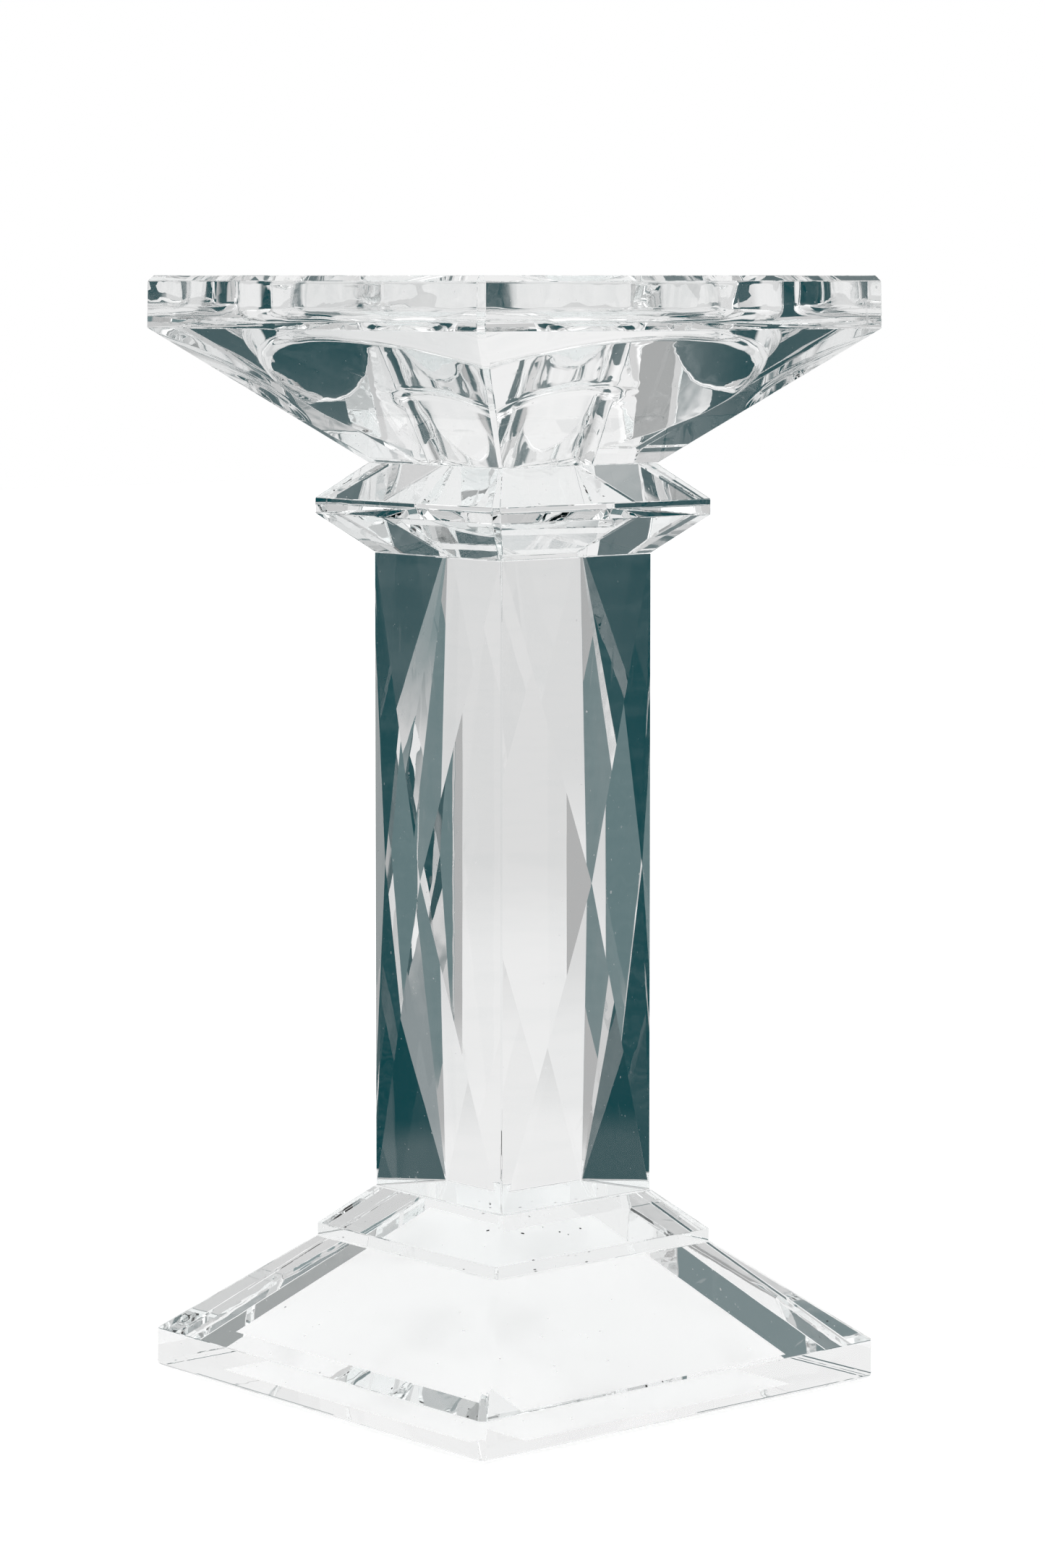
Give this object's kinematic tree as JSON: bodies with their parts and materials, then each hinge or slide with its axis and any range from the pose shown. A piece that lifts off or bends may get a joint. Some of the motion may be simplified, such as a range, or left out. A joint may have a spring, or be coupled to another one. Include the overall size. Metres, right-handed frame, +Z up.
{
  "type": "candlestick",
  "caption": "Square clear glass candlestick: stepped plinth on a thin white pad, tall column with faces cut to shallow points, knop, and a flared dish with a pillar recess and a taper socket.",
  "frame": {"origin": "on the table, under the middle of the foot pad", "axes": "+Z up along the middle of the column, +X and +Y square to the sides of the plinth"},
  "size_m": [0.0966, 0.0966, 0.2042],
  "materials": {
    "crystal": "cut and polished clear glass",
    "adhesive": "clear cured adhesive film",
    "pad": "white self-adhesive sheet, matte"
  },
  "bodies": {
    "root": {"foot_pad": "pad", "plinth": "crystal", "step": "crystal", "column": "crystal", "knop": "crystal", "dish": "crystal", "plinth_bond": "adhesive", "step_bond": "adhesive", "column_bond": "adhesive", "knop_bond": "adhesive"}
  },
  "joints": []
}
